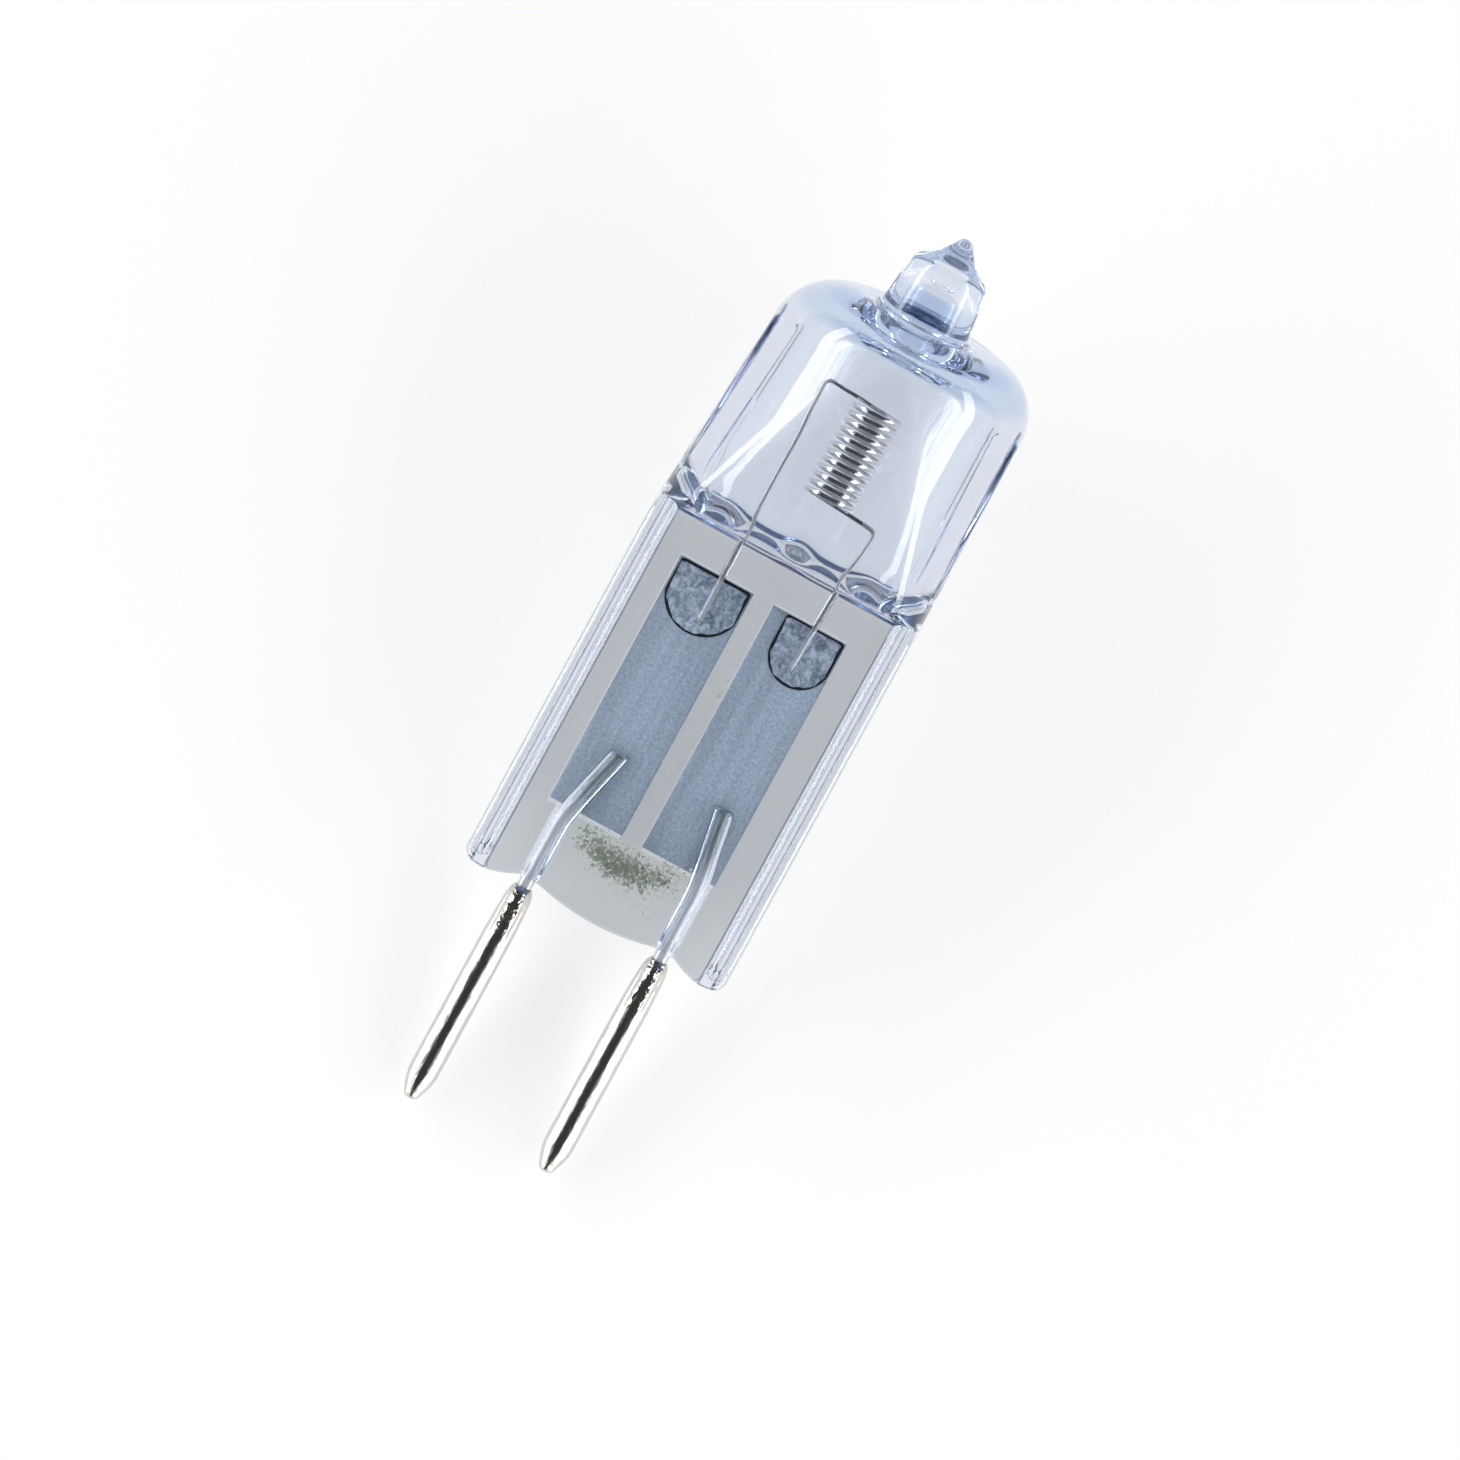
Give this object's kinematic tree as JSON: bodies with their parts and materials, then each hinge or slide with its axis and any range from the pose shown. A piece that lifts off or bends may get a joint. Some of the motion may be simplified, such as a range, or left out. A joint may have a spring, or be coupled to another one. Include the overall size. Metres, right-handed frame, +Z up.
{
  "type": "halogen capsule bulb",
  "caption": "Low-voltage capsule bulb: clear quartz tube with exhaust tip, coiled filament, foil seals in a flat pinch and two straight contact pins.",
  "frame": {"origin": "on the surface the bulb lies on, under the middle of its length and width", "axes": "+Y towards the exhaust tip as seen from above, +X across the pinch to the right, +Z up; the lamp lies on its glass belly and pin ends, tip end raised"},
  "size_m": [0.0122, 0.042, 0.0115],
  "materials": {
    "quartz_glass": "clear, fire-polished",
    "tungsten_wire": "drawn wire, dull sheen",
    "molybdenum_foil": "etched, satin",
    "weld_tab_metal": "mottled, oxidised",
    "molybdenum_lead": "drawn wire, satin",
    "nickel_plated_pin": "nickel plating, bright with fine drawing lines"
  },
  "bodies": {
    "root": {"envelope": "quartz_glass", "filament": "tungsten_wire", "foil_left": "molybdenum_foil", "foil_right": "molybdenum_foil", "weld_tab_left": "weld_tab_metal", "weld_tab_right": "weld_tab_metal", "lead_left": "molybdenum_lead", "lead_right": "molybdenum_lead", "pin_left": "nickel_plated_pin", "pin_right": "nickel_plated_pin"}
  },
  "joints": []
}
